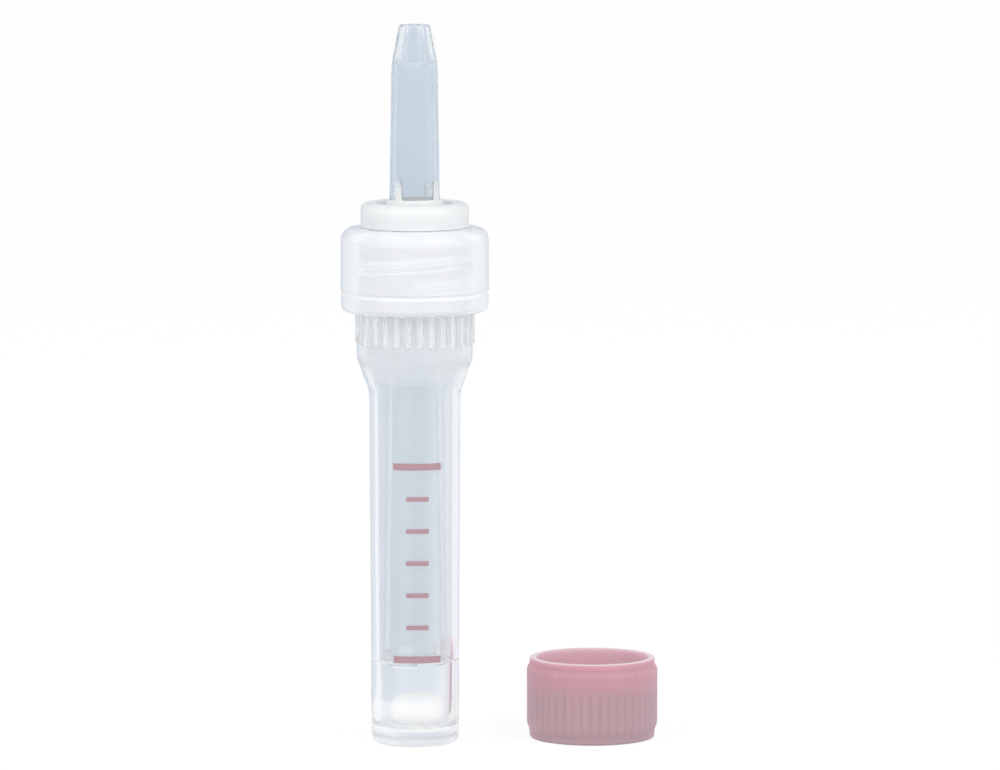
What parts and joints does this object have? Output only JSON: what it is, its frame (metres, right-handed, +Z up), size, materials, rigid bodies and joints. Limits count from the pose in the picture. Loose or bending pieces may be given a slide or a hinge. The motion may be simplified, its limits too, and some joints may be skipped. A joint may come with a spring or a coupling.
{
  "type": "blood collection tube",
  "caption": "Small clear blood collection tube with a tapered nozzle, long filling tube, screw collar, additive pellet and a ribbed pink screw cap standing beside it.",
  "frame": {"origin": "centre of the sample tube's foot, on the surface that it stands on", "axes": "+Z up along the tube to the nozzle's tip, +X from the tube towards the cap that stands beside it, -Y the printed side"},
  "size_m": [0.0288, 0.0158, 0.0653],
  "materials": {
    "clear_tube": "clear polypropylene, polished mould",
    "clear_nozzle": "clear polypropylene with a faint blue-grey tint, polished mould",
    "milky_collar": "milky clear polypropylene",
    "white_pellet": "pressed white, dull",
    "print_ink": "printed ink",
    "pink_cap": "translucent pink polypropylene, satin"
  },
  "bodies": {
    "tube": {"sample_tube": "clear_tube", "additive_pellet": "white_pellet", "fill_marks": "print_ink", "screw_cap": "pink_cap"},
    "nozzle": {"filling_tube": "clear_nozzle"},
    "collar": {"screw_collar": "milky_collar"}
  },
  "joints": [
    {"name": "nozzle_lift", "type": "slide", "parent": "tube", "child": "nozzle", "axis": [0, 0, 1], "range_m": [0, 0.00271]},
    {"name": "collar_turn", "type": "hinge", "parent": "nozzle", "child": "collar", "pos_m": [0, 0, 0.0467], "axis": [0, 0, 1], "range_deg": [0, 450]}
  ],
  "couplings": [
    {"joint": "collar_turn", "follows": "nozzle_lift", "rad_per_m": 2895.5}
  ]
}
